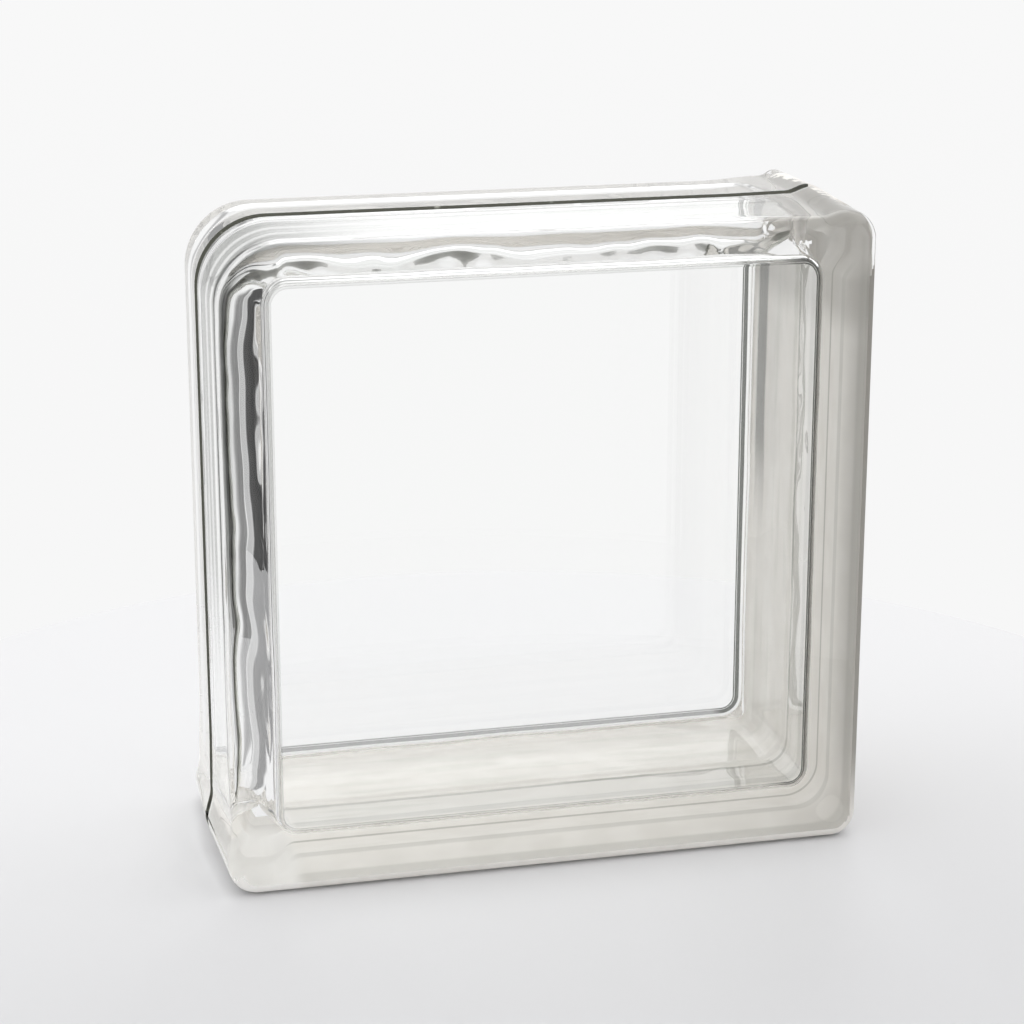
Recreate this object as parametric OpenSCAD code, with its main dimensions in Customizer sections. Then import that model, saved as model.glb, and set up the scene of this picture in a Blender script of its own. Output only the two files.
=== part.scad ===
// Double-end glass block: a hollow building block of pressed glass.
// Two pressed half shells are fused hot along a seam at mid depth, which leaves one piece with a sealed cavity.
// The left and top sides are finished: smooth, with a soft edge, to be seen at the end of a wall.
// The right and bottom sides are bedded in mortar and have a shallow channel between two rims.
// X is the width, Y the depth from front to back and Z the height. Z = 0 is the level that the block stands on.

/* [Block] */
// Width of the block over its rims
block_w = 190; // [140:1:300]
// Height of the block over its rims
block_h = 190; // [140:1:300]
// Depth of the block from face to face
block_d = 80; // [72:1:120]

/* [Panes] */
// Thickness of the front pane and of the back pane
pane_t = 8; // [6:0.5:12]

/* [Mortar sides] */
// Radius of the corners that touch a mortar side
corner_r = 7.5; // [6.5:0.5:12]
// Radius of the edge between a face and a mortar rim
rim_edge_r = 5; // [2:0.5:6.5]
// Width of the channel at its mouth, between the two rims
channel_w = 58; // [46:1:60]
// Width of the flat floor of the channel
channel_floor_w = 34; // [20:1:40]
// Depth of the channel below the rims
channel_depth = 4.75; // [2:0.25:6]
// Radius of the channel floor where it turns the corner
channel_corner_r = 10; // [6:0.5:16]
// Length of solid glass left past each end of the channel, at the finished sides
channel_end = 16; // [14:0.5:30]
// Length of the sloping run-out at each end of the channel
channel_runout = 8; // [4:0.5:14]

/* [Finished sides] */
// How far the finished sides lie inside the full size of the block
finish_inset = 2; // [0.5:0.25:3]
// Draft of a finished side, from the seam down to the faces, in degrees
finish_draft = 2; // [0.5:0.25:4]
// Radius of the edge between a face and a finished side
finish_edge_r = 10.5; // [5:0.5:12]
// Radius of the corner between the two finished sides
finish_corner_r = 20; // [16:1:36]

/* [Ears] */
// Length of the flat crest of an ear, past the corner where a finished side meets a mortar side
ear_crest = 0.5; // [0.5:0.5:6]
// Length of the slope from the crest of an ear down to its foot
ear_run = 6; // [3:0.5:12]
// Height of the foot above the finished side
ear_foot_h = 0.25; // [0.1:0.05:0.5]
// Length over which the foot runs out into the finished side
ear_foot_run = 20; // [10:1:30]
// Length over which an ear changes into the rims of the mortar side
ear_rim_run = 10; // [4:0.5:20]
// Radius of the edge between a face and the crest of an ear
ear_edge_r = 6; // [2:0.5:6.5]
// Radius of the edge between a face and the foot of an ear
ear_foot_edge_r = 7; // [2:0.5:9]

/* [Cavity] */
// Thickness of the side walls at the seam, where they are thinnest
wall_seam_t = 11; // [9:0.5:14]
// Draft of the cavity walls, which makes them thicker towards the panes, in degrees
cavity_draft = 7; // [3:0.5:9]
// Radius of the corners of the cavity at the seam
cavity_corner_r = 10; // [9:0.5:16]
// Radius of the fillet between a pane and the cavity walls
cavity_fillet_r = 4; // [2:0.5:5]
// Height of the bead that the hot seam leaves inside the cavity
bead_h = 0.8; // [0.4:0.1:1.5]
// Width of that bead at its foot
bead_w = 3; // [2:0.25:5]

/* [Seam] */
// Width of the fine groove that the seam leaves outside
seam_w = 0.8; // [0.4:0.1:1.5]
// Depth of that groove
seam_depth = 0.6; // [0.3:0.1:1.2]

/* [Hidden] */
$fn = 64;
glass_tint = [0.86, 0.92, 0.89, 0.45];
// Thickness of the slices of section that a blend is spanned between
slice_t = 0.02;
// How far the cutters reach past the surface that they cut
cut_over = 12;

half_w = block_w / 2;
half_d = block_d / 2;
// Depth of the bands of section that run round the block, on the finished and on the mortar sides
finish_band = finish_inset + finish_corner_r;
rim_band = corner_r;
// Edges of the plain core, inside those bands
core_left = -half_w + finish_band;
core_right = half_w - rim_band;
core_bottom = rim_band;
core_top = block_h - finish_band;
// Centre of the turn of the channel
channel_turn_x = half_w - channel_depth - channel_corner_r;
channel_turn_z = channel_depth + channel_corner_r;
// Cavity: half its depth, and its walls at the seam
cavity_half_d = half_d - pane_t;
cavity_left = -half_w + finish_inset + wall_seam_t;
cavity_right = half_w - wall_seam_t;
cavity_bottom = wall_seam_t;
cavity_top = block_h - finish_inset - wall_seam_t;
// The kinds of side: inset at the seam, draft and edge radius
rim_kind = [0, 0, rim_edge_r];
ear_kind = [0, 0, ear_edge_r];
foot_kind = [finish_inset - ear_foot_h, finish_draft, ear_foot_edge_r];
finish_kind = [finish_inset, finish_draft, finish_edge_r];

// Centre of the round between a face and a side, and the point where the round meets the side.
// X is the distance outwards, with 0 at the full size of the block, and Y is the depth.
function edge_centre(kind) =
    let (y = half_d - kind[2])
    [-kind[0] - (kind[2] + y * sin(kind[1])) / cos(kind[1]), y];
function edge_point(kind, angle) = edge_centre(kind) + kind[2] * [cos(angle), sin(angle)];

// Outer half of the round of an edge
module half_disc(radius) {
    intersection() {
        circle(radius);
        translate([0, -radius]) square([radius, 2 * radius]);
    }
}

// Section of a side
module side_section(kind, band) {
    centre = edge_centre(kind);
    tangent = edge_point(kind, kind[1]);
    seam_x = -kind[0] - seam_w / 2 * tan(kind[1]);
    polygon([
        [-band, -half_d], [centre.x, -half_d], [centre.x, -centre.y], [tangent.x, -tangent.y],
        [seam_x, -seam_w / 2], [-kind[0] - seam_depth, 0], [seam_x, seam_w / 2],
        [tangent.x, tangent.y], [centre.x, centre.y], [centre.x, half_d], [-band, half_d]
    ]);
    for (end = [-1, 1])
        translate([centre.x, end * centre.y]) half_disc(kind[2]);
}

// Section of the channel, in the same place as the section of a side
module channel_section() {
    polygon([
        [-channel_depth, -channel_floor_w / 2], [0, -channel_w / 2], [cut_over, -channel_w / 2],
        [cut_over, channel_w / 2], [0, channel_w / 2], [-channel_depth, channel_floor_w / 2],
        [-channel_depth, seam_w / 2], [-channel_depth - seam_depth, 0], [-channel_depth, -seam_w / 2]
    ]);
}

// Section of a cavity wall. X is the distance outwards, with 0 at the seam, and Y is the depth.
module cavity_section() {
    fillet_y = cavity_half_d - cavity_fillet_r;
    fillet_x = -(cavity_fillet_r + fillet_y * sin(cavity_draft)) / cos(cavity_draft);
    tangent_x = fillet_x + cavity_fillet_r * cos(cavity_draft);
    tangent_y = fillet_y + cavity_fillet_r * sin(cavity_draft);
    bead_x = -bead_w / 2 * tan(cavity_draft);
    polygon([
        [-cavity_corner_r, -cavity_half_d], [fillet_x, -cavity_half_d], [fillet_x, -fillet_y],
        [tangent_x, -tangent_y], [bead_x, -bead_w / 2], [-bead_h, 0], [bead_x, bead_w / 2],
        [tangent_x, tangent_y], [fillet_x, fillet_y], [fillet_x, cavity_half_d],
        [-cavity_corner_r, cavity_half_d]
    ]);
    for (end = [-1, 1])
        translate([fillet_x, end * fillet_y]) half_disc(cavity_fillet_r);
}

// Each of these stands a run of section on one side of the block. The section points outwards.
// The runs on the right and on the left go up, and those on the top and on the bottom go to the left.
module on_right(x, from) {
    translate([x, 0, from]) children();
}

module on_left(x, from) {
    translate([x, 0, from]) rotate([0, 0, 180]) children();
}

module on_top(z, from) {
    translate([from, 0, z]) rotate([0, -90, 0]) children();
}

module on_bottom(z, from) {
    translate([from, 0, z]) rotate([180, 0, 0]) rotate([0, -90, 0]) children();
}

// Turns a section round a corner, a quarter turn on from the angle start, which is counted from +X towards +Z
module round_corner(x, z, radius, start) {
    translate([x, 0, z]) rotate([0, -start, 0]) rotate([90, 0, 0]) rotate_extrude(angle = 90)
        intersection() {
            translate([radius, 0]) children();
            translate([0, -block_d]) square([radius + cut_over, 2 * block_d]);
        }
}

// Plain slab between the bands
module slab(left, right, bottom, top, depth) {
    translate([left, -depth / 2, bottom]) cube([right - left, depth, top - bottom]);
}

// Groove of the seam over a stretch where its depth below the full size changes
module seam_cut(from, to, run) {
    slope = atan((to - from) / run);
    translate([-from, 0, 0]) rotate([0, -slope, 0]) linear_extrude(run / cos(slope))
        polygon([[-seam_depth, 0], [seam_depth, -seam_w], [seam_depth, seam_w]]);
}

// Stretch of side that changes from one kind to another
module blend(from, to, run, band) {
    difference() {
        hull() {
            linear_extrude(slice_t) side_section(from, band);
            translate([0, 0, run - slice_t]) linear_extrude(slice_t) side_section(to, band);
        }
        seam_cut(from[0], to[0], run);
    }
}

// Finished side with the ear at its mortar corner
module finished_side(length) {
    foot = ear_crest + ear_run;
    foot_end = foot + ear_foot_run;
    linear_extrude(ear_crest) side_section(ear_kind, finish_band);
    translate([0, 0, ear_crest]) blend(ear_kind, foot_kind, ear_run, finish_band);
    translate([0, 0, foot]) blend(foot_kind, finish_kind, ear_foot_run, finish_band);
    translate([0, 0, foot_end]) linear_extrude(length - foot_end) side_section(finish_kind, finish_band);
}

// Mortar side, from the plain corner to the corner with the ear
module mortar_side(length) {
    rim_len = length - ear_rim_run;
    linear_extrude(rim_len) side_section(rim_kind, rim_band);
    translate([0, 0, rim_len]) blend(rim_kind, ear_kind, ear_rim_run, rim_band);
}

// Outside of the block, before the channel and the cavity
module pressed_body() {
    slab(core_left, core_right, core_bottom, core_top, block_d);
    on_right(half_w, core_bottom) mortar_side(block_h - 2 * corner_r);
    on_bottom(0, core_right) mortar_side(block_w - 2 * corner_r);
    on_left(-half_w, core_bottom) finished_side(core_top - core_bottom);
    on_top(block_h, core_right) finished_side(core_right - core_left);
    round_corner(core_right, core_bottom, corner_r, 270) side_section(rim_kind, rim_band);
    round_corner(-half_w + corner_r, core_bottom, corner_r, 180) side_section(ear_kind, rim_band);
    round_corner(core_right, block_h - corner_r, corner_r, 0) side_section(ear_kind, rim_band);
    round_corner(core_left, core_top, finish_band, 90) side_section(finish_kind, finish_band);
}

// Straight part of the channel, from the turn to the end, where its floor slopes up to the rims
module channel_run(length) {
    deep = channel_depth + 2 * seam_depth;
    floor_len = length - channel_runout;
    intersection() {
        linear_extrude(length) channel_section();
        rotate([90, 0, 0]) linear_extrude(block_d, center = true) polygon([
            [-deep, 0], [cut_over, 0], [cut_over, length], [0, length],
            [-channel_depth, floor_len], [-deep, floor_len]
        ]);
    }
    translate([0, 0, floor_len]) seam_cut(channel_depth, 0, channel_runout);
}

// Mortar channel along the right side, round the corner and along the bottom side
module mortar_channel() {
    on_right(half_w, channel_turn_z) channel_run(block_h - channel_end - channel_turn_z);
    on_bottom(0, channel_turn_x) channel_run(channel_turn_x + half_w - channel_end);
    round_corner(channel_turn_x, channel_turn_z, channel_depth + channel_corner_r, 270) channel_section();
}

// Sealed cavity between the two panes
module cavity() {
    left = cavity_left + cavity_corner_r;
    right = cavity_right - cavity_corner_r;
    bottom = cavity_bottom + cavity_corner_r;
    top = cavity_top - cavity_corner_r;
    slab(left, right, bottom, top, 2 * cavity_half_d);
    on_right(cavity_right, bottom) linear_extrude(top - bottom) cavity_section();
    on_left(cavity_left, bottom) linear_extrude(top - bottom) cavity_section();
    on_top(cavity_top, right) linear_extrude(right - left) cavity_section();
    on_bottom(cavity_bottom, right) linear_extrude(right - left) cavity_section();
    round_corner(right, top, cavity_corner_r, 0) cavity_section();
    round_corner(left, top, cavity_corner_r, 90) cavity_section();
    round_corner(left, bottom, cavity_corner_r, 180) cavity_section();
    round_corner(right, bottom, cavity_corner_r, 270) cavity_section();
}

// The block in one piece
module glass_block() {
    color(glass_tint)
        difference() {
            pressed_body();
            mortar_channel();
            cavity();
        }
}

glass_block();
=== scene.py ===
"""Looks of a hollow block of pressed clear glass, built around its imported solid.

The classes hold their sizes in millimetres, and a mesh is made in metres.
X is the width, Y the depth from front to back and Z the height, as in the solid.
"""

import logging
import math
from dataclasses import dataclass, field
from enum import Enum

import bmesh
import bpy
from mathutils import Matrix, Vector, noise

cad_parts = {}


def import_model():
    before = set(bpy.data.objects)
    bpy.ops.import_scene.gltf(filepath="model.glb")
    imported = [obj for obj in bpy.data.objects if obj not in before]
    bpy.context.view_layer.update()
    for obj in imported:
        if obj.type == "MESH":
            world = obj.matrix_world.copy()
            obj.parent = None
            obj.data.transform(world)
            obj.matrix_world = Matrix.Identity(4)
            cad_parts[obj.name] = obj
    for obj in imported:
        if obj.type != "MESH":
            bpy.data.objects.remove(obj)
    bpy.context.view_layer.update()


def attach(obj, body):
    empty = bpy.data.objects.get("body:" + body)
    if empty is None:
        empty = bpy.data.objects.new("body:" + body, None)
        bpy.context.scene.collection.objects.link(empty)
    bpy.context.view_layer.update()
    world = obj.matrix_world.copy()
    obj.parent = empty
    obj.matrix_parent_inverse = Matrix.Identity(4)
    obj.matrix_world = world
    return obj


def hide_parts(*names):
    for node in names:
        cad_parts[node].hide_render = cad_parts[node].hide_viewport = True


log = logging.getLogger("glass_block")

MM = 0.001
CAD_NODE = "glass_block"
BODY = "root"
PIECE = "pressed_glass_block"
STREAK_GROUP = "drawn_streaks"
# The walk map holds the length walked round a skin, in centimetres, and the station across it.
WALK_UV = "walk"
WALK_UNIT = 10.0
# Points of a skin that lie closer than this, in metres, are one point.
WELD = 1e-7

Colour = tuple[float, float, float, float]
Stop = tuple[float, Colour]


class Dress(Enum):
    """The finishes of the block, in the order of its material slots."""

    GLASS = 0
    COAT = 1
    SEAM = 2
    WALL = 3


def smooth(share: float) -> float:
    """Ease from 0 to 1, held at both ends."""
    t = min(max(share, 0.0), 1.0)
    return t * t * (3 - 2 * t)


def mix(start: float, end: float, share: float) -> float:
    """Value that lies a share of the way from start to end."""
    return start + (end - start) * share


def ripple(along: float, depth: float, long: float, wide: float, seed: float) -> float:
    """Height of a smooth pressed ripple.

    Args:
        along: Distance along the wall.
        depth: Distance across the wall.
        long: Length of a wave along the wall.
        wide: Length of a wave across the wall.
        seed: Number that sets one ripple apart from another.

    Returns:
        A height from about -1 to 1.
    """
    return noise.noise(Vector((along / long, depth / wide, seed)))


@dataclass(frozen=True)
class Kind:
    """Section of a side of the block.

    Attributes:
        inset: How far the seam lies inside the full size.
        draft: Slope from the seam down to the faces, in degrees.
        edge_r: Radius of the round between the side and a face.
    """

    inset: float
    draft: float
    edge_r: float

    def toward(self, other: "Kind", share: float) -> "Kind":
        """The kind that lies a share of the way to another one."""
        return Kind(
            mix(self.inset, other.inset, share),
            mix(self.draft, other.draft, share),
            mix(self.edge_r, other.edge_r, share),
        )

    def point(self, reach: float, half_d: float) -> tuple[float, float]:
        """A point of the section.

        Args:
            reach: 0 at the seam, 1 where the round begins and 2 where it meets the face.
            half_d: Distance from the seam to the face.

        Returns:
            The distance outwards from the full size, and the distance from the seam.
        """
        slope = math.radians(self.draft)
        centre_y = half_d - self.edge_r
        centre_d = -self.inset - (self.edge_r + centre_y * math.sin(slope)) / math.cos(slope)
        if reach < 1:
            y = reach * (centre_y + self.edge_r * math.sin(slope))
            return -self.inset - y * math.tan(slope), y
        angle = mix(slope, math.pi / 2, reach - 1)
        return centre_d + self.edge_r * math.cos(angle), centre_y + self.edge_r * math.sin(angle)


@dataclass(frozen=True)
class Place:
    """A place on an outline: where it is, the way outwards, and the length walked to it."""

    x: float
    z: float
    out_x: float
    out_z: float
    along: float


@dataclass
class Outline:
    """Square outline with round corners, walked up the left side and on clockwise.

    Attributes:
        left, right, bottom, top: Its four sides.
        radii: Corner radii, from the top left one clockwise.
        step: Spacing of the places along the sides.
        end_step, end_len: Closer spacing, over a length at both ends of a side.
        turn_steps: Number of steps round a corner.
        starts: Lengths walked to the start of each side and corner, in order.
    """

    left: float
    right: float
    bottom: float
    top: float
    radii: tuple[float, float, float, float]
    step: float
    end_step: float
    end_len: float
    turn_steps: int
    starts: list[float] = field(default_factory=list)

    def shares(self, length: float) -> list[float]:
        """Space the places of a side.

        Args:
            length: Length of the side.

        Returns:
            Shares of the length at which the places lie.
        """
        ends = max(1, round(self.end_len / self.end_step))
        middle = max(1, round((length - 2 * self.end_len) / self.step))
        share = self.end_len / length
        first = [share * i / ends for i in range(ends)]
        between = [mix(share, 1 - share, i / middle) for i in range(middle)]
        return first + between + [1 - share + share * i / ends for i in range(ends)]

    def places(self) -> list[Place]:
        """Walk round the outline once, and note where each side and corner starts.

        Returns:
            Every place of the walk, with the first one again at the end.
        """
        r_tl, r_tr, r_br, r_bl = self.radii
        sides = (
            ((self.left, self.bottom + r_bl), (self.left, self.top - r_tl), 180.0),
            ((self.left + r_tl, self.top), (self.right - r_tr, self.top), 90.0),
            ((self.right, self.top - r_tr), (self.right, self.bottom + r_br), 0.0),
            ((self.right - r_br, self.bottom), (self.left + r_bl, self.bottom), -90.0),
        )
        walked, found = 0.0, []
        self.starts = []
        for ((x0, z0), (x1, z1), facing), radius in zip(sides, self.radii):
            out = Vector((math.cos(math.radians(facing)), math.sin(math.radians(facing))))
            length = math.hypot(x1 - x0, z1 - z0)
            self.starts.append(walked)
            for t in self.shares(length):
                found.append(Place(mix(x0, x1, t), mix(z0, z1, t), out.x, out.y, walked + length * t))
            walked += length
            self.starts.append(walked)
            centre = Vector((x1, z1)) - out * radius
            for i in range(self.turn_steps):
                angle = math.radians(facing - 90 * i / self.turn_steps)
                turn = Vector((math.cos(angle), math.sin(angle)))
                spot = centre + turn * radius
                walked_to = walked + radius * math.pi / 2 * i / self.turn_steps
                found.append(Place(spot.x, spot.y, turn.x, turn.y, walked_to))
            walked += radius * math.pi / 2
        self.starts.append(walked)
        first = found[0]
        return [*found, Place(first.x, first.z, first.out_x, first.out_z, walked)]


@dataclass(frozen=True)
class Ear:
    """Rise of a finished side to the full size at its mortar corner.

    Attributes:
        crest: Where the rise ends at the seam, from the end of the straight side.
        run: Length of the rise.
        front_shift, back_shift: How far it moves along the side at the front and the back face.
    """

    crest: float
    run: float
    front_shift: float
    back_shift: float

    def kind(self, gap: float, share: float, kinds: tuple[Kind, Kind, Kind], foot_run: float) -> Kind:
        """The section at a place near the ear.

        Args:
            gap: Distance along the side from the corner.
            share: Place in the depth, from -1 at the front face to 1 at the back face.
            kinds: The sections of the ear, of its foot and of the finished side.
            foot_run: Length over which the foot turns into the finished side.

        Returns:
            The section there.
        """
        shift = self.front_shift * -share if share < 0 else self.back_shift * share
        gap -= shift + self.crest
        ear, foot, finish = kinds
        if gap < self.run:
            return ear.toward(foot, smooth(gap / self.run))
        return foot.toward(finish, smooth((gap - self.run) / foot_run))


class Skin:
    """A closed skin, made from a grid that is wrapped round the block."""

    def stations(self) -> list[float]:
        """Places across the skin, from the front to the back."""
        raise NotImplementedError

    def walk(self) -> list[Place]:
        """Places round the skin."""
        raise NotImplementedError

    def spot(self, place: Place, station: float) -> Vector:
        """The point of the skin at a place round it and a station across it."""
        raise NotImplementedError

    def dress(self, place: Place, station: float) -> Dress:
        """The finish of the skin there."""
        raise NotImplementedError

    def build(self, inward: bool) -> bmesh.types.BMesh:
        """Make the skin.

        Args:
            inward: True to turn its faces to the inside.

        Returns:
            The finished skin, in metres.
        """
        places, stations = self.walk(), self.stations()
        rows, cols = len(places) - 1, len(stations) - 1
        bm = bmesh.new()
        bmesh.ops.create_grid(bm, x_segments=rows, y_segments=cols, size=0.5)
        low = min(v.co.x for v in bm.verts), min(v.co.y for v in bm.verts)
        span = max(v.co.x for v in bm.verts) - low[0], max(v.co.y for v in bm.verts) - low[1]
        walk = bm.loops.layers.uv.new(WALK_UV)
        for face in bm.faces:
            mid = face.calc_center_median()
            i = int((mid.x - low[0]) / span[0] * rows)
            j = int((mid.y - low[1]) / span[1] * cols)
            face.smooth = True
            face.material_index = self.dress(places[i], (stations[j] + stations[j + 1]) / 2).value
            for loop in face.loops:
                i = round((loop.vert.co.x - low[0]) / span[0] * rows)
                j = round((loop.vert.co.y - low[1]) / span[1] * cols)
                loop[walk].uv = places[i].along / WALK_UNIT, stations[j]
        for v in bm.verts:
            i = round((v.co.x - low[0]) / span[0] * rows)
            j = round((v.co.y - low[1]) / span[1] * cols)
            v.co = self.spot(places[i], stations[j]) * MM
        bmesh.ops.remove_doubles(bm, verts=bm.verts[:], dist=WELD)
        rims = [e for e in bm.edges if e.is_boundary]
        for face in bmesh.ops.holes_fill(bm, edges=rims, sides=0)["faces"]:
            face.material_index = Dress.GLASS.value
            face.smooth = False
        bmesh.ops.recalc_face_normals(bm, faces=bm.faces[:])
        if inward:
            bmesh.ops.reverse_faces(bm, faces=bm.faces[:])
        return bm


@dataclass
class OuterSkin(Skin):
    """Outside of the block: two finished sides, two mortar sides and the panes.

    Attributes:
        width, height, half_d: Full size, with half the depth.
        radii: Corner radii, from the top left one clockwise.
        rim, base, ear, foot, finish: Sections of the sides.
        foot_run: Length over which an ear turns into its finished side.
        top_ear, left_ear: The ears.
        channel_w, channel_floor_w, channel_depth: Section of the mortar channel.
        channel_turn_r: Radius of its floor at the corner.
        channel_end, channel_runout: Where it ends, and the length of its slope there.
        seam_front, seam_back, seam_depth: Groove of the seam, in front of it and behind it.
        seam_wander, seam_long, seam_seed: How its depth comes and goes along the seam.
        dark_front, dark_back: Stretch of the seam that is dark, in front of it and behind it.
        coat_start, coat_end: How far the coat reaches past the ends of the mortar sides.
        coat_reach, coat_foot: How far the coat reaches across, as a station, and how much further below.
        coat_brow, brow_run: How far it reaches across at its top, and the length in which that widens.
        stroke_end, stroke_long, stroke_wide, stroke_seed: Brush strokes at the ends of the coat.
        corner_twist: How much fuller the top right corner is at the back than at the seam.
        wave, wave_long, wave_wide, wave_seed: Ripple of the sides.
        step, end_step, end_len, turn_steps: Spacing of the places round the block.
    """

    width: float = 190.0
    height: float = 190.0
    half_d: float = 40.0
    radii: tuple[float, float, float, float] = (22.0, 9.0, 8.0, 10.0)
    rim: Kind = Kind(0.0, 0.3, 5.0)
    base: Kind = Kind(0.0, 0.3, 3.5)
    ear: Kind = Kind(0.0, 2.5, 5.0)
    foot: Kind = Kind(1.75, 2.0, 5.5)
    finish: Kind = Kind(2.0, 2.0, 10.5)
    foot_run: float = 20.0
    top_ear: Ear = Ear(-0.9, 6.6, 2.6, -6.5)
    left_ear: Ear = Ear(-1.0, 9.0, 2.6, -6.0)
    channel_w: float = 58.0
    channel_floor_w: float = 34.0
    channel_depth: float = 4.75
    channel_turn_r: float = 10.0
    channel_end: float = 16.0
    channel_runout: float = 8.0
    seam_front: float = 3.8
    seam_back: float = 0.5
    seam_depth: float = 1.3
    seam_wander: float = 0.25
    seam_long: float = 5.0
    seam_seed: float = 3.1
    dark_front: float = 1.2
    dark_back: float = 0.6
    coat_start: float = 13.0
    coat_end: float = 9.0
    coat_reach: float = 1.7
    coat_foot: float = 0.25
    coat_brow: float = 0.8
    brow_run: float = 12.0
    stroke_end: float = 4.0
    stroke_long: float = 14.0
    stroke_wide: float = 1.6
    stroke_seed: float = 5.3
    corner_twist: float = 1.1
    wave: float = 0.05
    wave_long: float = 40.0
    wave_wide: float = 25.0
    wave_seed: float = 9.7
    step: float = 2.2
    end_step: float = 0.9
    end_len: float = 30.0
    turn_steps: int = 18

    def __post_init__(self) -> None:
        """Lay out the walk round the block."""
        half_w = self.width / 2
        steps = self.step, self.end_step, self.end_len, self.turn_steps
        self.outline = Outline(-half_w, half_w, 0.0, self.height, self.radii, *steps)
        self.line = self.outline.places()

    def stations(self) -> list[float]:
        """Space the stations across the skin, closest at the groove of the seam.

        Returns:
            Stations from -2 at the front face, by 0 at the seam, to 2 at the back face.
        """
        near = [0.004, 0.008, 0.0125, 0.018, 0.025, 0.035, 0.05, 0.065, 0.08, 0.1]
        flat = [0.15 + 0.05 * i for i in range(6)]
        ramp = [0.43 + 0.03 * i for i in range(15)]
        turn = [0.9, 0.95, *(1 + 0.1 * i for i in range(11))]
        half = [*near, *flat, *ramp, *turn]
        return [-r for r in reversed(half)] + [0.0] + half

    def walk(self) -> list[Place]:
        """Places round the block."""
        return self.line

    def kind(self, place: Place, share: float) -> Kind:
        """Find the section of a side.

        Args:
            place: Place round the block.
            share: Place in the depth, from -1 at the front face to 1 at the back face.

        Returns:
            The section there.
        """
        left, _, top, corner, right, _, _, foot_corner, total = self.outline.starts
        kinds = self.ear, self.foot, self.finish
        rim = self.rim.toward(self.base, max(0.0, -place.out_z))
        s = place.along
        if s > foot_corner:
            ear = self.left_ear.kind(s - total, share, kinds, self.foot_run)
            return ear.toward(rim, smooth(-place.out_z))
        if s < top:
            return self.left_ear.kind(s - left, share, kinds, self.foot_run)
        if s < right:
            ear = self.top_ear.kind(corner - s, share, kinds, self.foot_run)
            return ear.toward(rim, smooth(place.out_x))
        return rim

    def channel_share(self, place: Place, y: float) -> float:
        """Find how deep the channel is cut.

        Args:
            place: Place round the block.
            y: Distance from the seam, towards the back.

        Returns:
            The share of its full depth.
        """
        right, bottom_end = self.outline.starts[4], self.outline.starts[7]
        if not right <= place.along <= bottom_end:
            return 0.0
        edge, floor = self.channel_w / 2, self.channel_floor_w / 2
        t = min(max((edge - abs(y)) / (edge - floor), 0.0), 1.0)
        across = 0.5 * t + 0.5 * smooth(t)
        gap = min(self.height - place.z, place.x + self.width / 2)
        return across * smooth((gap - self.channel_end) / self.channel_runout)

    def channel_floor(self, place: Place) -> tuple[float, float]:
        """Find the floor of the channel.

        Args:
            place: Place round the block.

        Returns:
            X and Z of the floor, inside that place.
        """
        turn_x = self.width / 2 - self.channel_depth - self.channel_turn_r
        turn_z = self.channel_depth + self.channel_turn_r
        if place.x > turn_x and place.z < turn_z:
            away = Vector((place.x - turn_x, place.z - turn_z)).normalized() * self.channel_turn_r
            return turn_x + away.x, turn_z + away.y
        return place.x - place.out_x * self.channel_depth, place.z - place.out_z * self.channel_depth

    def groove(self, place: Place, y: float) -> float:
        """Find the depth of the groove of the seam.

        Args:
            place: Place round the block.
            y: Distance from the seam, towards the back.

        Returns:
            The depth.
        """
        swell = ripple(place.along, 0.0, self.seam_long, 1.0, self.seam_seed)
        depth = self.seam_depth * (1 + self.seam_wander * swell)
        if y < 0:
            return depth * smooth(1 + y / self.seam_front)
        return depth * smooth(1 - y / self.seam_back)

    def spot(self, place: Place, station: float) -> Vector:
        """Find a point of the skin.

        Args:
            place: Place round the block.
            station: Station across it.

        Returns:
            The point, in millimetres.
        """
        side = -1 if station < 0 else 1
        kind = self.kind(place, station / 2)
        out, y = kind.point(abs(station), self.half_d)
        y *= side
        out -= self.groove(place, y)
        out += self.corner_twist * station * max(0.0, place.out_x) * max(0.0, place.out_z)
        if abs(station) < 1:
            swell = ripple(place.along, y, self.wave_long, self.wave_wide, self.wave_seed)
            out += self.wave * (1 - abs(station)) * swell
        x, z = place.x + place.out_x * out, place.z + place.out_z * out
        share = self.channel_share(place, y)
        floor_x, floor_z = self.channel_floor(place)
        return Vector((mix(x, floor_x, share), y, mix(z, floor_z, share)))

    def dress(self, place: Place, station: float) -> Dress:
        """Put the coat on the mortar sides, dark glass in the seam and clear glass elsewhere.

        Args:
            place: Place round the block.
            station: Station across it.

        Returns:
            The finish there.
        """
        right, bottom_end = self.outline.starts[4], self.outline.starts[7]
        y = station * (self.half_d - self.finish.edge_r)
        stroke = ripple(place.along, y, self.stroke_long, self.stroke_wide, self.stroke_seed)
        past = min(place.along - right + self.coat_start, bottom_end + self.coat_end - place.along)
        reach = self.coat_reach + self.coat_foot * max(0.0, -place.out_z)
        reach = mix(self.coat_brow, reach, smooth((place.along - right) / self.brow_run))
        if past + self.stroke_end * stroke > 0 and abs(station) < reach:
            return Dress.COAT
        if -self.dark_front < y < self.dark_back:
            return Dress.SEAM
        return Dress.GLASS


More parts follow.
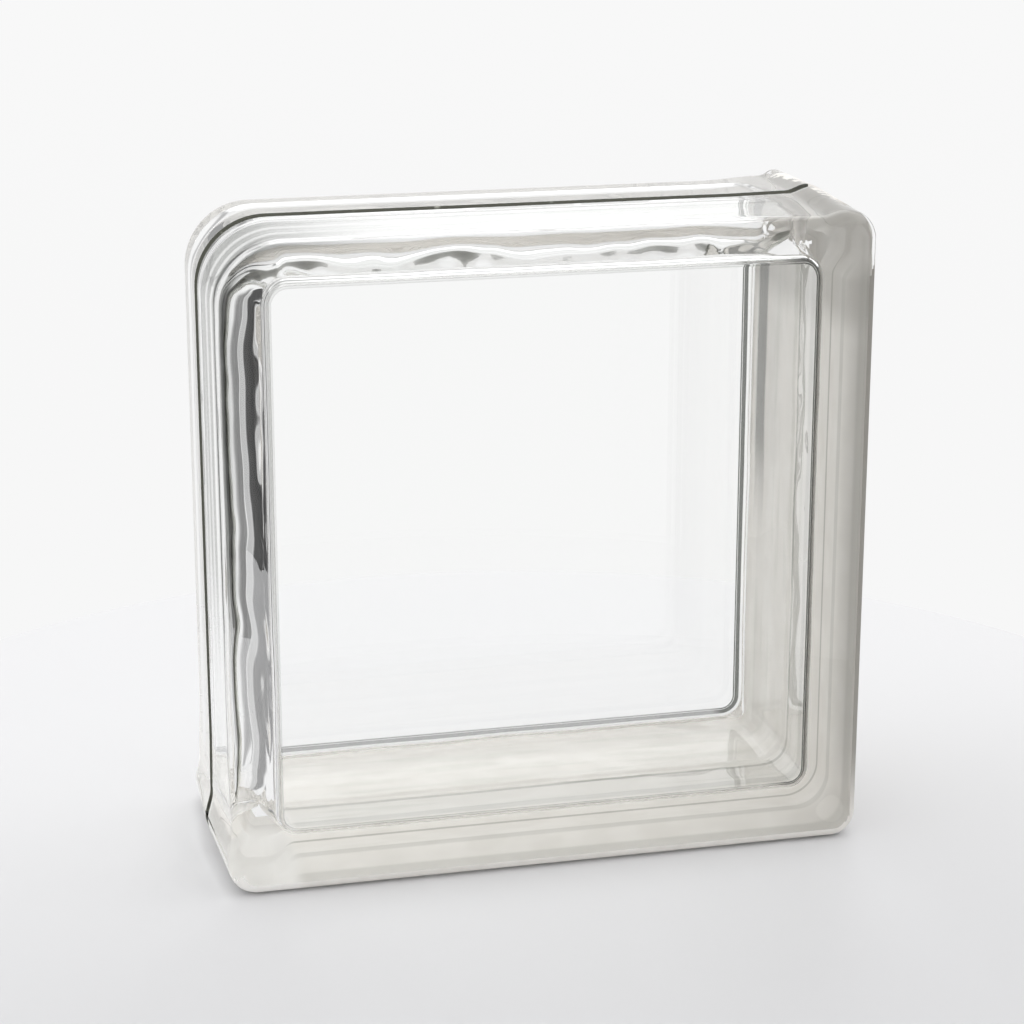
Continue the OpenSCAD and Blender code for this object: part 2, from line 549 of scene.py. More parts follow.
@dataclass
class CavitySkin(Skin):
    """Inside of the block: the four pressed walls and the inner faces of the panes.

    Attributes:
        left, right, bottom, top: Its walls at the seam.
        half_d: Half its depth.
        corner_r: Radius of its corners at the seam.
        wall, finish_wall: Sections of its walls on the mortar and on the finished sides.
        bead_h, bead_w: Bead that the hot seam leaves.
        bead_wander, bead_scale: How its height comes and goes along the seam.
        finish_bead: Share of the bead that is left on the finished sides.
        wave, top_wave: Height of the ripple of its walls, and of the top one.
        wave_long, wave_wide, wave_seed: Lengths of its waves along and across the walls, and its seed.
        wave_fade: How far from the panes the ripple fades out, as a station.
        fine_share, fine_scale: Height and fineness of the smaller waves on it.
        step, end_step, end_len, turn_steps: Spacing of the places round the cavity.
    """

    left: float = -82.2
    right: float = 84.0
    bottom: float = 11.5
    top: float = 178.8
    half_d: float = 32.0
    corner_r: float = 10.0
    wall: Kind = Kind(0.0, 7.0, 2.5)
    finish_wall: Kind = Kind(0.0, 5.5, 2.5)
    bead_h: float = 0.8
    bead_w: float = 3.0
    bead_wander: float = 0.5
    bead_scale: float = 7.0
    finish_bead: float = 0.35
    wave: float = 0.3
    top_wave: float = 0.16
    wave_long: float = 26.0
    wave_wide: float = 22.0
    wave_seed: float = 4.2
    wave_fade: float = 0.9
    fine_share: float = 0.3
    fine_scale: float = 2.7
    step: float = 2.0
    end_step: float = 1.0
    end_len: float = 12.0
    turn_steps: int = 16

    def __post_init__(self) -> None:
        """Lay out the walk round the cavity."""
        radii = (self.corner_r,) * 4
        steps = self.step, self.end_step, self.end_len, self.turn_steps
        self.outline = Outline(self.left, self.right, self.bottom, self.top, radii, *steps)
        self.line = self.outline.places()

    def stations(self) -> list[float]:
        """Space the stations across the skin, closest at the bead.

        Returns:
            Stations from -2 at the front pane, by 0 at the seam, to 2 at the back pane.
        """
        half = [0.01, 0.02, 0.035, 0.052, 0.07, *(0.1 + 0.045 * i for i in range(21))]
        half += [1 + i / 9 for i in range(10)]
        return [-r for r in reversed(half)] + [0.0] + half

    def walk(self) -> list[Place]:
        """Places round the cavity."""
        return self.line

    def spot(self, place: Place, station: float) -> Vector:
        """Find a point of the skin.

        Args:
            place: Place round the cavity.
            station: Station across it.

        Returns:
            The point, in millimetres.
        """
        side = -1 if station < 0 else 1
        finished = self.finished(place)
        out, y = self.wall.toward(self.finish_wall, finished).point(abs(station), self.half_d)
        y *= side
        where = self.ripple_spot(place, y)
        held = smooth((2 - abs(station)) / self.wave_fade)
        wave = mix(self.wave, self.top_wave, max(0.0, place.out_z))
        out += wave * held * (noise.noise(where) + self.fine_share * noise.noise(where * self.fine_scale))
        bead = self.bead_h * mix(1.0, self.finish_bead, finished)
        bead *= 1 + self.bead_wander * noise.noise(where * self.bead_scale)
        out -= bead * smooth(1 - abs(y) / (self.bead_w / 2))
        return Vector((place.x + place.out_x * out, y, place.z + place.out_z * out))

    def ripple_spot(self, place: Place, y: float) -> Vector:
        """Where the ripple is read: on a ring, so that it closes where the walk ends.

        Args:
            place: Place round the cavity.
            y: Distance from the seam.

        Returns:
            A point for the noise.
        """
        total = self.outline.starts[-1]
        along = place.along if place.along < total else 0.0
        ring = total / (2 * math.pi)
        ring_x, ring_z = math.cos(along / total * 2 * math.pi), math.sin(along / total * 2 * math.pi)
        across = y / self.wave_wide + self.wave_seed
        return Vector((ring_x * ring / self.wave_long, ring_z * ring / self.wave_long, across))

    def finished(self, place: Place) -> float:
        """How much a place belongs to the finished sides, from 0 to 1."""
        return max(0.0, -place.out_x) ** 2 + max(0.0, place.out_z) ** 2

    def dress(self, place: Place, station: float) -> Dress:
        """Streaky pressed glass all the way across."""
        return Dress.WALL


class Wiring:
    """Adds nodes to a tree and joins them."""

    def __init__(self, tree: bpy.types.NodeTree) -> None:
        """Keep the tree that the nodes go into."""
        self.tree = tree

    def join(self, value: object, socket: bpy.types.NodeSocket) -> None:
        """Link a socket to an input, or set the input to a plain value.

        Args:
            value: Socket or plain value.
            socket: The input.
        """
        if isinstance(value, bpy.types.NodeSocket):
            self.tree.links.new(value, socket)
        else:
            socket.default_value = value

    def add(self, kind: str, *values: object) -> bpy.types.Node:
        """Add a node and fill its first inputs.

        Args:
            kind: Type of the node.
            values: Sockets or plain values, in the order of the inputs.

        Returns:
            The node.
        """
        made = self.tree.nodes.new(kind)
        for value, socket in zip(values, made.inputs):
            self.join(value, socket)
        return made

    def math(self, work: str, *values: object) -> bpy.types.NodeSocket:
        """Add a Math node.

        Args:
            work: What it does.
            values: Sockets or plain values, in the order of the inputs.

        Returns:
            Its result.
        """
        made = self.add("ShaderNodeMath", *values)
        made.operation = work
        return made.outputs[0]

    def vector(self, work: str, *values: object) -> bpy.types.NodeSocket:
        """Add a Vector Math node.

        Args:
            work: What it does.
            values: Sockets or plain values, in the order of the inputs.

        Returns:
            Its result, which is a number for a dot product.
        """
        made = self.add("ShaderNodeVectorMath", *values)
        made.operation = work
        return made.outputs["Value" if work == "DOT_PRODUCT" else "Vector"]

    def ease(self, value: object, low: float, high: float) -> bpy.types.NodeSocket:
        """Turn a value into a smooth step.

        Args:
            value: Socket or plain value.
            low, high: Where the step begins and ends.

        Returns:
            0 at low, 1 at high and eased between them.
        """
        made = self.add("ShaderNodeMapRange", value, low, high, 0.0, 1.0)
        made.interpolation_type = "SMOOTHSTEP"
        return made.outputs[0]

    def band(self, value: object, low: float, high: float, soft: float) -> bpy.types.NodeSocket:
        """Mask that is 1 from low to high and fades out over a soft edge."""
        return self.math("MULTIPLY", self.ease(value, low - soft, low), self.ease(value, high + soft, high))

    def blend(self, share: object, start: object, end: object) -> bpy.types.NodeSocket:
        """Blend two colours.

        Args:
            share: How much there is of the second one.
            start, end: The colours, as sockets or plain values.

        Returns:
            The blended colour.
        """
        made = self.tree.nodes.new("ShaderNodeMix")
        made.data_type = "RGBA"
        for value, name in ((share, "Factor_Float"), (start, "A_Color"), (end, "B_Color")):
            self.join(value, next(i for i in made.inputs if i.identifier == name))
        return next(o for o in made.outputs if o.identifier == "Result_Color")

    def some(self, count: object) -> bpy.types.NodeSocket:
        """1 where a count is one or more."""
        return self.math("GREATER_THAN", count, 0.5)

    def none(self, count: object) -> bpy.types.NodeSocket:
        """1 where a count is zero."""
        return self.math("LESS_THAN", count, 0.5)

    def parts(self, vector: object) -> dict[str, bpy.types.NodeSocket]:
        """X, Y and Z of a vector."""
        return {part.name: part for part in self.add("ShaderNodeSeparateXYZ", vector).outputs}

    def walk(self) -> bpy.types.NodeSocket:
        """Read the walk map of the piece.

        Returns:
            The map, as a vector.
        """
        made = self.tree.nodes.new("ShaderNodeUVMap")
        made.uv_map = WALK_UV
        return made.outputs[0]

    def spot(self) -> dict[str, bpy.types.NodeSocket]:
        """X, Y and Z of a point of the piece, in metres."""
        return self.parts(self.tree.nodes.new("ShaderNodeTexCoord").outputs["Object"])

    def ramp(self, value: object, stops: tuple[Stop, ...]) -> bpy.types.NodeSocket:
        """Make a colour that changes with a value.

        Args:
            value: The value.
            stops: Values with their colours, from low to high.

        Returns:
            The colour, eased from stop to stop.
        """
        result: object = stops[0][1]
        for (low, _), (high, colour) in zip(stops, stops[1:]):
            result = self.blend(self.ease(value, low, high), result, colour)
        return result


def finish_wiring(name: str) -> tuple[bpy.types.Material, Wiring, bpy.types.Node]:
    """Start a finish.

    Args:
        name: Name of the material.

    Returns:
        The material, its wiring and its shader.
    """
    made = bpy.data.materials.new(name)
    made.use_nodes = True
    wire = Wiring(made.node_tree)
    return made, wire, made.node_tree.nodes["Principled BSDF"]


@dataclass(frozen=True)
class Streaks:
    """What is drawn out along a surface, such as pressed ripples and brush strokes.

    Attributes:
        along: Streaks to a centimetre along the surface.
        across: Streaks to a station across it.
        seed: Number that sets one set of streaks apart from another.
        low, high: Heights between which a streak comes up, out of 0 to 1.
    """

    along: float
    across: float
    seed: float
    low: float
    high: float

    @staticmethod
    def tree() -> bpy.types.NodeTree:
        """Find the group of nodes that the finishes share, or make it.

        Returns:
            The group.
        """
        found = bpy.data.node_groups.get(STREAK_GROUP)
        if found:
            return found
        made = bpy.data.node_groups.new(STREAK_GROUP, "ShaderNodeTree")
        face = made.interface
        face.new_socket("Vector", in_out="INPUT", socket_type="NodeSocketVector")
        for name in ("Along", "Across", "Seed"):
            face.new_socket(name, in_out="INPUT", socket_type="NodeSocketFloat")
        face.new_socket("Height", in_out="OUTPUT", socket_type="NodeSocketFloat")
        wire = Wiring(made)
        given = wire.add("NodeGroupInput").outputs
        parts = wire.parts(given["Vector"])
        long = wire.math("MULTIPLY", parts["X"], given["Along"])
        wide = wire.math("MULTIPLY", parts["Y"], given["Across"])
        where = wire.add("ShaderNodeCombineXYZ", long, wide, given["Seed"]).outputs[0]
        grain = wire.add("ShaderNodeTexNoise", where)
        grain.inputs["Scale"].default_value = 1.0
        grain.inputs["Detail"].default_value = 1.0
        result = wire.add("NodeGroupOutput")
        wire.join(grain.outputs["Fac"], result.inputs["Height"])
        return made

    def mask(self, wire: Wiring) -> bpy.types.NodeSocket:
        """Place the group in a finish.

        Args:
            wire: Wiring of the finish.

        Returns:
            Where the streaks are, from 0 to 1.
        """
        made = wire.tree.nodes.new("ShaderNodeGroup")
        made.node_tree = self.tree()
        values = {"Vector": wire.walk(), "Along": self.along, "Across": self.across, "Seed": self.seed}
        for name, value in values.items():
            wire.join(value, made.inputs[name])
        return wire.ease(made.outputs["Height"], self.low, self.high)


def make_clear(shader: bpy.types.Node, ior: float) -> None:
    """Set a shader to smooth clear glass.

    Args:
        shader: The shader.
        ior: Index of refraction of the glass.
    """
    shader.inputs["Roughness"].default_value = 0.0
    shader.inputs["IOR"].default_value = ior
    shader.inputs["Transmission Weight"].default_value = 1.0


@dataclass(frozen=True)
class ClearGlass:
    """Clear pressed glass: a faint tint that comes and goes, and grey bands round one corner that are a
    painted reflection of the dark surroundings.

    Attributes:
        colour, cast: The glass, and its faint bands.
        painted_reflection: Grey of the bands round the corner, a painted reflection of the dark
            surroundings.
        bands: The bands, drawn out round the block.
        reflection_from, reflection_to, reflection_soft: Where the painted reflection lies along the walk,
        in centimetres.
        reflection_low, reflection_high, reflection_edge: Where it lies across, as stations.
        ior: Index of refraction.
    """

    name: str = "clear_glass"
    colour: Colour = (0.998, 1.0, 0.998, 1.0)
    cast: Colour = (0.985, 0.992, 0.985, 1.0)
    painted_reflection: Colour = (0.16, 0.165, 0.155, 1.0)
    bands: Streaks = Streaks(0.03, 7.0, 3.3, 0.42, 0.66)
    reflection_from: float = 9.0
    reflection_to: float = 18.0
    reflection_soft: float = 5.0
    reflection_low: float = -1.3
    reflection_high: float = -0.1
    reflection_edge: float = 0.4
    ior: float = 1.51

    def material(self) -> bpy.types.Material:
        """Make the finish.

        Returns:
            The material.
        """
        made, wire, shader = finish_wiring(self.name)
        bands = self.bands.mask(wire)
        body = wire.blend(bands, self.colour, self.cast)
        walk = wire.parts(wire.walk())
        # Painted reflection: grey bands of the dark surroundings, round the top left corner at the front.
        reflection_mask = wire.band(walk["X"], self.reflection_from, self.reflection_to, self.reflection_soft)
        across = wire.band(walk["Y"], self.reflection_low, self.reflection_high, self.reflection_edge)
        reflection_mask = wire.math("MULTIPLY", reflection_mask, across)
        body = wire.blend(wire.math("MULTIPLY", reflection_mask, bands), body, self.painted_reflection)
        wire.join(body, shader.inputs["Base Color"])
        make_clear(shader, self.ior)
        return made


@dataclass(frozen=True)
class WallGlass:
    """Glass of the cavity's walls, with ripples, and dark lines along its inner edges that are a painted
    reflection of the dark surroundings.

    Attributes:
        colour, streak: The glass, and the grey of its ripples, painted shade for the dark surroundings seen
            through them.
        line: The dark lines, a painted reflection of the dark surroundings.
        ripples: The ripples, drawn out round the cavity.
        ior: Index of refraction.
        lines: From which station to which a painted dark line lies, on both sides of the seam.
        soft: Width of soft edges, as a station.
        side_from, side_to: Where the right wall begins, in metres from the middle.
        weak, back: Strength of the lines away from the right wall, at the front and at the back.
        smoke, reflection_low, reflection_high: Dark band on the right wall, a painted reflection of the
            dark surroundings, and the stations that it lies at.
        reflection_z: Heights between which it comes up, in metres.
    """

    name: str = "wall_glass"
    colour: Colour = (0.996, 0.998, 0.99, 1.0)
    ripple_shade: Colour = (0.89, 0.91, 0.88, 1.0)
    line: Colour = (0.02, 0.022, 0.018, 1.0)
    ripples: Streaks = Streaks(0.25, 9.0, 1.7, 0.52, 0.68)
    ior: float = 1.51
    lines: tuple[tuple[float, float], ...] = ((1.50, 1.80), (1.88, 1.95))
    soft: float = 0.05
    side_from: float = 0.060
    side_to: float = 0.075
    weak: float = 0.35
    back: float = 0.8
    painted_reflection: Colour = (0.12, 0.125, 0.12, 1.0)
    reflection_low: float = 0.66
    reflection_high: float = 0.82
    reflection_z: tuple[float, float] = (0.075, 0.115)

    def material(self) -> bpy.types.Material:
        """Make the finish.

        Returns:
            The material.
        """
        made, wire, shader = finish_wiring(self.name)
        signed = wire.parts(wire.walk())["Y"]
        across = wire.math("ABSOLUTE", signed)
        # Painted shade: a grey tint on the ripples.
        body = wire.blend(self.ripples.mask(wire), self.colour, self.ripple_shade)
        where = wire.spot()
        side = wire.ease(where["X"], self.side_from, self.side_to)
        # Painted reflection: a dark band on the back half of the right wall.
        reflection_mask = wire.band(signed, self.reflection_low, self.reflection_high, self.soft)
        reflection_mask = wire.math("MULTIPLY", reflection_mask, side)
        reflection_mask = wire.math("MULTIPLY", reflection_mask, wire.ease(where["Z"], *self.reflection_z))
        body = wire.blend(reflection_mask, body, self.painted_reflection)
        strength = wire.math("MAXIMUM", self.weak, side)
        behind = wire.math("MULTIPLY", wire.math("GREATER_THAN", signed, 0.0), self.back)
        strength = wire.math("MAXIMUM", strength, behind)
        # Painted reflection: dark lines along the inner edges, strongest on the right wall and at the back.
        shade = None
        for low, high in self.lines:
            mask = wire.band(across, low, high, self.soft)
            shade = mask if shade is None else wire.math("MAXIMUM", shade, mask)
        shade = wire.math("MULTIPLY", shade, strength)
        wire.join(wire.blend(shade, body, self.line), shader.inputs["Base Color"])
        make_clear(shader, self.ior)
        return made


@dataclass(frozen=True)
class MortarCoat:
    """Thin off-white coat, brushed on the mortar sides, with painted shade towards the front rim that is
    strong on the upright side and faint on the bottom one.

    Stations are counted towards the front here, and places are in metres.

    Attributes:
        pale, dark: Thick and thin brush strokes.
        rim: Painted shade towards the front rim, also used for the painted shade near the top.
        crease, seam: Painted shade in the creases along the channel's edges, and the line along the seam.
        end: The left end of the coat.
        strokes: The brush strokes.
        floor_edge, rim_edge: Stations between which the painted shade comes up.
        creases, crease_shade_share: Stations and strength of the painted shade along the channel's edges.
        seam_half, seam_soft, seam_share: Half width of the line along the seam, its soft edge and strength.
        soft: Width of soft edges, as a station.
        foot, upright, bottom_shade_share: Heights between which the painted shade comes up, and the share
            of it left below.
        end_from, end_to: Places across the block between which the left end turns into the rest.
        top_from, top_to: Heights between which the lines end.
        brow, top_shade_soft, top_shade_share: Heights of the painted shade near the top, its soft edge and
            strength.
        translucence: Share of light that passes into the coat.
        roughness: Roughness of the dry coat.
    """

    name: str = "mortar_coat"
    pale: Colour = (0.95, 0.926, 0.888, 1.0)
    dark: Colour = (0.895, 0.87, 0.828, 1.0)
    rim: Colour = (0.36, 0.345, 0.315, 1.0)
    crease_shade: Colour = (0.42, 0.415, 0.38, 1.0)
    seam: Colour = (0.20, 0.20, 0.155, 1.0)
    end: Colour = (0.97, 0.955, 0.925, 1.0)
    strokes: Streaks = Streaks(0.9, 5.0, 4.4, 0.3, 0.7)
    floor_edge: float = 0.42
    rim_edge: float = 0.95
    crease_shades: tuple[tuple[float, float], ...] = ((0.38, 0.46), (0.70, 0.80))
    crease_shade_share: float = 0.35
    seam_half: float = 0.022
    seam_soft: float = 0.01
    seam_share: float = 0.45
    soft: float = 0.04
    foot: float = 0.0
    upright: float = 0.03
    bottom_shade_share: float = 0.08
    end_from: float = -0.075
    end_to: float = -0.070
    top_from: float = 0.166
    top_to: float = 0.174
    top_shade: tuple[float, float] = (0.160, 0.179)
    top_shade_soft: float = 0.012
    top_shade_share: float = 0.55
    translucence: float = 0.12
    roughness: float = 0.8

    def material(self) -> bpy.types.Material:
        """Make the finish.

        Returns:
            The material.
        """
        made, wire, shader = finish_wiring(self.name)
        across = wire.math("MULTIPLY", wire.parts(wire.walk())["Y"], -1.0)
        where = wire.spot()
        body = wire.blend(self.strokes.mask(wire), self.dark, self.pale)
        # Painted shade towards the front rim, strong on the upright side and faint on the bottom.
        share = wire.ease(across, self.floor_edge, self.rim_edge)
        lower = wire.math("MULTIPLY", wire.ease(where["Z"], self.foot, self.upright), 1 - self.bottom_shade_share)
        share = wire.math("MULTIPLY", share, wire.math("ADD", lower, self.bottom_shade_share))
        inside = wire.ease(where["X"], self.end_from, self.end_to)
        tone = wire.blend(inside, self.end, wire.blend(share, body, self.rim))
        # Painted shade in a band near the top of the coat.
        top_shade = wire.math("MULTIPLY", wire.band(where["Z"], *self.top_shade, self.top_shade_soft), self.top_shade_share)
        tone = wire.blend(top_shade, tone, self.rim)
        inside = wire.math("MULTIPLY", inside, wire.ease(where["Z"], self.top_to, self.top_from))
        # Painted shade in the creases along the channel's edges.
        for low, high in self.crease_shades:
            line = wire.band(across, low, high, self.soft)
            line = wire.math("MULTIPLY", wire.math("MULTIPLY", line, inside), self.crease_shade_share)
            tone = wire.blend(line, tone, self.crease_shade)
        line = wire.band(across, -self.seam_half, self.seam_half, self.seam_soft)
        line = wire.math("MULTIPLY", wire.math("MULTIPLY", line, inside), self.seam_share)
        tone = wire.blend(line, tone, self.seam)
        wire.join(tone, shader.inputs["Base Color"])
        shader.inputs["Roughness"].default_value = self.roughness
        shader.inputs["Transmission Weight"].default_value = self.translucence
        return made


@dataclass(frozen=True)
class SeamGlass:
    """Dark olive line of the hot seam, with a few paler flecks.

    Attributes:
        colour, fleck: The line, and its flecks.
        within: The line as light meets it from inside the glass.
        flecks: The flecks, drawn out along the seam.
        roughness: Roughness of the fused glass.
        clear: Share of light that passes through.
    """

    name: str = "seam_glass"
    colour: Colour = (0.014, 0.015, 0.008, 1.0)
    fleck: Colour = (0.30, 0.31, 0.24, 1.0)
    within: Colour = (0.74, 0.76, 0.70, 1.0)
    flecks: Streaks = Streaks(3.0, 20.0, 2.9, 0.70, 0.84)
    roughness: float = 0.12
    clear: float = 0.5

    def material(self) -> bpy.types.Material:
        """Make the finish.

        Returns:
            The material.
        """
        made, wire, shader = finish_wiring(self.name)
        outside = wire.blend(self.flecks.mask(wire), self.colour, self.fleck)
        behind = wire.add("ShaderNodeNewGeometry").outputs["Backfacing"]
        wire.join(wire.blend(behind, outside, self.within), shader.inputs["Base Color"])
        shader.inputs["Roughness"].default_value = self.roughness
        shader.inputs["Transmission Weight"].default_value = self.clear
        return made


@dataclass
class GlassBlock:
    """The block: two half shells fused at the seam, with a sealed cavity.

    Attributes:
        outer, cavity: Its two skins.
        glass, coat, seam, wall: Its finishes.
    """

    outer: OuterSkin = field(default_factory=OuterSkin)
    cavity: CavitySkin = field(default_factory=CavitySkin)
    glass: ClearGlass = ClearGlass()
    coat: MortarCoat = MortarCoat()
    seam: SeamGlass = SeamGlass()
    wall: WallGlass = WallGlass()

    def build(self) -> bpy.types.Object:
        """Make the block's mesh and dress it.

        Returns:
            The object, which rides on the body and stands for the solid.
        """
        mesh = bpy.data.meshes.new(PIECE)
        whole = self.outer.build(inward=False)
        inner = self.cavity.build(inward=True)
        spare = bpy.data.meshes.new("cavity")
        inner.to_mesh(spare)
        inner.free()
        whole.from_mesh(spare)
        bpy.data.meshes.remove(spare)
        whole.to_mesh(mesh)
        whole.free()
        made = bpy.data.objects.new(PIECE, mesh)
        bpy.context.scene.collection.objects.link(made)
        for finish in (self.glass, self.coat, self.seam, self.wall):
            mesh.materials.append(finish.material())
        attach(made, BODY)
        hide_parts(CAD_NODE)
        log.info("%s: %d faces", made.name, len(mesh.polygons))
        return made


@dataclass(frozen=True)
class Strip:
    """Upright dark strip of the studio.

    Attributes:
        azimuth: Its middle, counted from +X towards +Y, in degrees.
        half: Half its width in degrees.
        soft: Width of its soft edges in degrees.
        strength: How dark it is, from 0 to 1.
    """

    azimuth: float
    half: float
    soft: float
    strength: float

    def mask(self, wire: Wiring, level: object) -> bpy.types.NodeSocket:
        """Where the strip is, from 0 to its strength.

        Args:
            wire: The tree's wiring.
            level: Way of a ray on the level.

        Returns:
            The mask.
        """
        a = math.radians(self.azimuth)
        near = wire.vector("DOT_PRODUCT", level, (math.cos(a), math.sin(a), 0.0))
        edges = [math.cos(math.radians(self.half + k * self.soft)) for k in (0.5, -0.5)]
        return wire.math("MULTIPLY", wire.ease(near, *edges), self.strength)


@dataclass(frozen=True)
class TableTop:
    """Satin white table, with painted shade that makes it a little darker towards the front.

    Attributes:
        near, far: Its colour at the front, darkened by painted shade, and at the back.
        near_y, far_y: Where the one begins to turn into the other, and where it ends.
        roughness: Roughness of the top.
        let_through: Share of the light that passes it on the way into the thick glass.
    """

    name: str = "table_top"
    near: Colour = (0.60, 0.60, 0.61, 1.0)
    far: Colour = (0.74, 0.74, 0.75, 1.0)
    near_y: float = -0.20
    far_y: float = 0.12
    roughness: float = 0.5
    let_through: float = 0.65

    def material(self) -> bpy.types.Material:
        """Make the finish.

        Returns:
            The material.
        """
        made, wire, shader = finish_wiring(self.name)
        # Painted shade: the table darkens towards the front.
        tone = wire.blend(wire.ease(wire.spot()["Y"], self.near_y, self.far_y), self.near, self.far)
        wire.join(tone, shader.inputs["Base Color"])
        shader.inputs["Roughness"].default_value = self.roughness
        path = wire.add("ShaderNodeLightPath").outputs
        turned = wire.math("MULTIPLY", wire.some(path["Glossy Depth"]), wire.none(path["Diffuse Depth"]))
        open_glass = wire.tree.nodes.new("ShaderNodeBsdfTransparent").outputs[0]
        share = wire.math("MULTIPLY", turned, self.let_through)
        both = wire.add("ShaderNodeMixShader", share, shader.outputs[0], open_glass)
        wire.join(both.outputs[0], wire.tree.nodes["Material Output"].inputs["Surface"])
        return made


@dataclass
class Studio:
    """Round pale table, soft light and the camera.

    Attributes:
        table_r, table_x, table_y, table_drop, table_sides: The table, a hair below the block.
        azimuth, elevation, distance: Place of the camera.
        shift_right, shift_up: How far its target lies from the block's middle.
        target_z: Height of the block's middle.
        focal_px, frame_px: Focal length and frame, in pixels.
        sensor: Width of the camera's sensor, in millimetres.
        lamp_place, lamp_size, lamp_power: The soft box.
        table_finish: Finish of the table.
        strips: Dark strips that stand round the block.
        strip_ends, strip_soft, strip_colour: Slopes between which the strips stand, and how they end.
        few_turns: Most surfaces that a ray may pass straight through and still see the strips.
        backdrop: What is seen behind the block and in its glass, from below to above.
        sky: What lights the block, from below to above.
        bounces, diffuse, glossy, transmission: Most turns of a ray of light, in all and of each kind.
    """

    table_r: float = 0.244
    table_x: float = 0.002
    table_y: float = 0.007
    table_drop: float = 0.0002
    table_sides: int = 160
    azimuth: float = -13.91
    elevation: float = 16.404
    distance: float = 0.7903
    shift_right: float = -0.0017
    shift_up: float = 0.001162
    target_z: float = 0.095
    focal_px: float = 2682.7
    frame_px: float = 1024.0
    sensor: float = 36.0
    lamp_place: tuple[float, float, float] = (0.12, 0.75, 0.95)
    lamp_size: float = 0.8
    lamp_power: float = 1.5
    table_finish: TableTop = TableTop()
    strips: tuple[Strip, ...] = (
        Strip(49.5, 4.4, 3.0, 1.0),
        Strip(41.5, 3.5, 4.0, 0.5),
        Strip(113.5, 4.0, 6.0, 0.75),
        Strip(168.0, 7.0, 5.0, 0.95),
        Strip(215.0, 7.0, 5.0, 0.95),
        Strip(335.0, 12.0, 8.0, 0.95),
    )
    strip_ends: tuple[float, float] = (-0.53, 0.50)
    strip_soft: float = 0.07
    strip_colour: Colour = (0.02, 0.02, 0.02, 1.0)
    few_turns: float = 3.5
    backdrop: tuple[Stop, ...] = (
        (-1.0, (0.80, 0.80, 0.80, 1.0)),
        (-0.3, (0.93, 0.93, 0.93, 1.0)),
        (0.25, (0.96, 0.96, 0.96, 1.0)),
        (0.45, (0.80, 0.80, 0.80, 1.0)),
        (0.55, (1.4, 1.4, 1.4, 1.0)),
        (0.72, (1.4, 1.4, 1.4, 1.0)),
        (0.85, (0.85, 0.85, 0.85, 1.0)),
        (1.0, (0.75, 0.75, 0.75, 1.0)),
    )
    sky: tuple[Stop, ...] = (
        (-1.0, (0.4, 0.4, 0.4, 1.0)),
        (0.0, (0.5, 0.5, 0.5, 1.0)),
        (0.6, (1.05, 1.05, 1.05, 1.0)),
        (1.0, (1.5, 1.5, 1.5, 1.0)),
    )
    bounces: int = 30
    diffuse: int = 3
    glossy: int = 25
    transmission: int = 18

    def camera(self) -> None:
        """Put the camera at the photograph's angle."""
        a, e = math.radians(self.azimuth), math.radians(self.elevation)
        back = Vector((math.sin(a) * math.cos(e), -math.cos(a) * math.cos(e), math.sin(e)))
        right = Vector((math.cos(a), math.sin(a), 0))
        target = Vector((0, 0, self.target_z)) + right * self.shift_right
        target += back.cross(right) * self.shift_up
        lens = bpy.data.cameras.new("camera")
        lens.sensor_width = self.sensor
        lens.lens = self.focal_px * self.sensor / self.frame_px
        made = bpy.data.objects.new("camera", lens)
        made.location = target + back * self.distance
        made.rotation_euler = (-back).to_track_quat("-Z", "Y").to_euler()
        bpy.context.scene.collection.objects.link(made)
        bpy.context.scene.camera = made

    def table(self) -> None:
        """Make the round table."""
        bm = bmesh.new()
        bmesh.ops.create_circle(bm, cap_ends=True, segments=self.table_sides, radius=self.table_r)
        bmesh.ops.translate(bm, verts=bm.verts[:], vec=(self.table_x, self.table_y, -self.table_drop))
        mesh = bpy.data.meshes.new("table")
        bm.to_mesh(mesh)
        bm.free()
        made = bpy.data.objects.new("table", mesh)
        bpy.context.scene.collection.objects.link(made)
        mesh.materials.append(self.table_finish.material())

    def lamp(self) -> None:
        """Hang a square soft box that faces the block."""
        data = bpy.data.lights.new("soft_box", "AREA")
        data.size = self.lamp_size
        data.energy = self.lamp_power
        made = bpy.data.objects.new("soft_box", data)
        made.location = self.lamp_place
        aim = Vector((0, 0, self.target_z)) - Vector(self.lamp_place)
        made.rotation_euler = aim.to_track_quat("-Z", "Y").to_euler()
        bpy.context.scene.collection.objects.link(made)

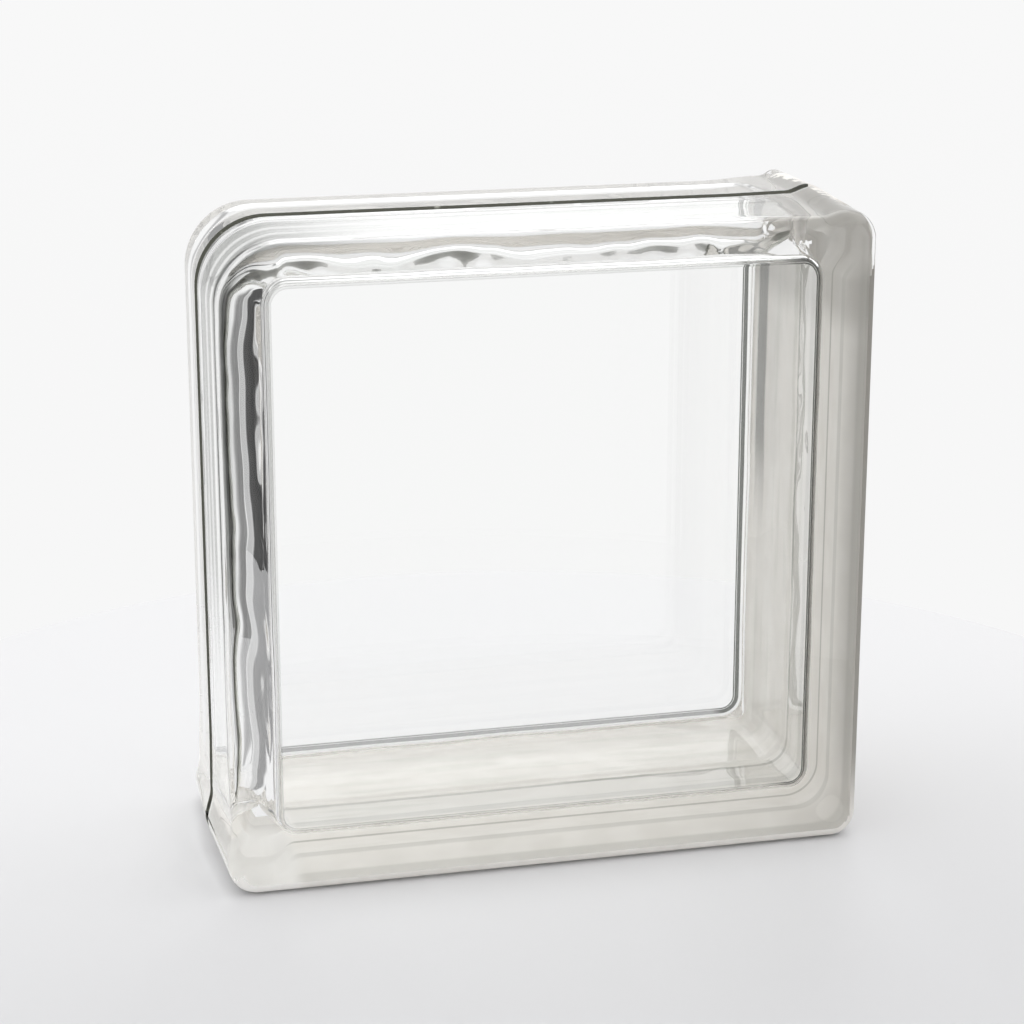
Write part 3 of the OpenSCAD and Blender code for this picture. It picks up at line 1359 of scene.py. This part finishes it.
    def world(self) -> None:
        """Pale backdrop all round, with dark strips that only the thick glass shows."""
        made = bpy.data.worlds.new("studio")
        bpy.context.scene.world = made
        made.use_nodes = True
        wire = Wiring(made.node_tree)
        path = wire.add("ShaderNodeLightPath").outputs
        way = wire.add("ShaderNodeTexCoord").outputs["Generated"]
        parts = wire.parts(way)
        level = wire.add("ShaderNodeCombineXYZ", parts["X"], parts["Y"]).outputs[0]
        level = wire.vector("NORMALIZE", level)
        shade = None
        for strip in self.strips:
            mask = strip.mask(wire, level)
            shade = mask if shade is None else wire.math("MAXIMUM", shade, mask)
        shade = wire.math("MULTIPLY", shade, wire.band(parts["Z"], *self.strip_ends, self.strip_soft))
        few = wire.math("LESS_THAN", path["Transmission Depth"], self.few_turns)
        shade = wire.math("MULTIPLY", shade, wire.math("MAXIMUM", wire.some(path["Glossy Depth"]), few))
        shade = wire.math("MULTIPLY", shade, wire.math("SUBTRACT", 1.0, path["Is Camera Ray"]))
        clear = wire.math("MAXIMUM", path["Is Camera Ray"], path["Is Glossy Ray"])
        clear = wire.math("MAXIMUM", clear, path["Is Transmission Ray"])
        clear = wire.math("MULTIPLY", clear, wire.none(path["Diffuse Depth"]))
        backdrop = wire.ramp(parts["Z"], self.backdrop)
        backdrop = wire.blend(shade, backdrop, self.strip_colour)
        # Two backgrounds, so that a ray works out only the one that it needs.
        seen = made.node_tree.nodes["Background"]
        wire.join(backdrop, seen.inputs["Color"])
        lit = wire.add("ShaderNodeBackground", wire.ramp(parts["Z"], self.sky))
        both = wire.add("ShaderNodeMixShader", clear, lit.outputs[0], seen.outputs[0])
        wire.join(both.outputs[0], made.node_tree.nodes["World Output"].inputs["Surface"])

    def build(self) -> None:
        """Set up the light, the table and the camera."""
        scene = bpy.context.scene
        scene.view_settings.view_transform = "Standard"
        scene.cycles.max_bounces = self.bounces
        scene.cycles.diffuse_bounces = self.diffuse
        scene.cycles.blur_glossy = 0.0
        scene.cycles.glossy_bounces = self.glossy
        scene.cycles.transmission_bounces = self.transmission
        self.camera()
        self.table()
        self.world()
        self.lamp()
        log.info("studio: camera at azimuth %.1f, elevation %.1f", self.azimuth, self.elevation)


def main() -> None:
    """Load the solid, and build the block and the studio."""
    logging.basicConfig(level=logging.INFO)
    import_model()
    GlassBlock().build()
    Studio().build()
    bpy.context.view_layer.update()


if __name__ == "__main__":
    main()
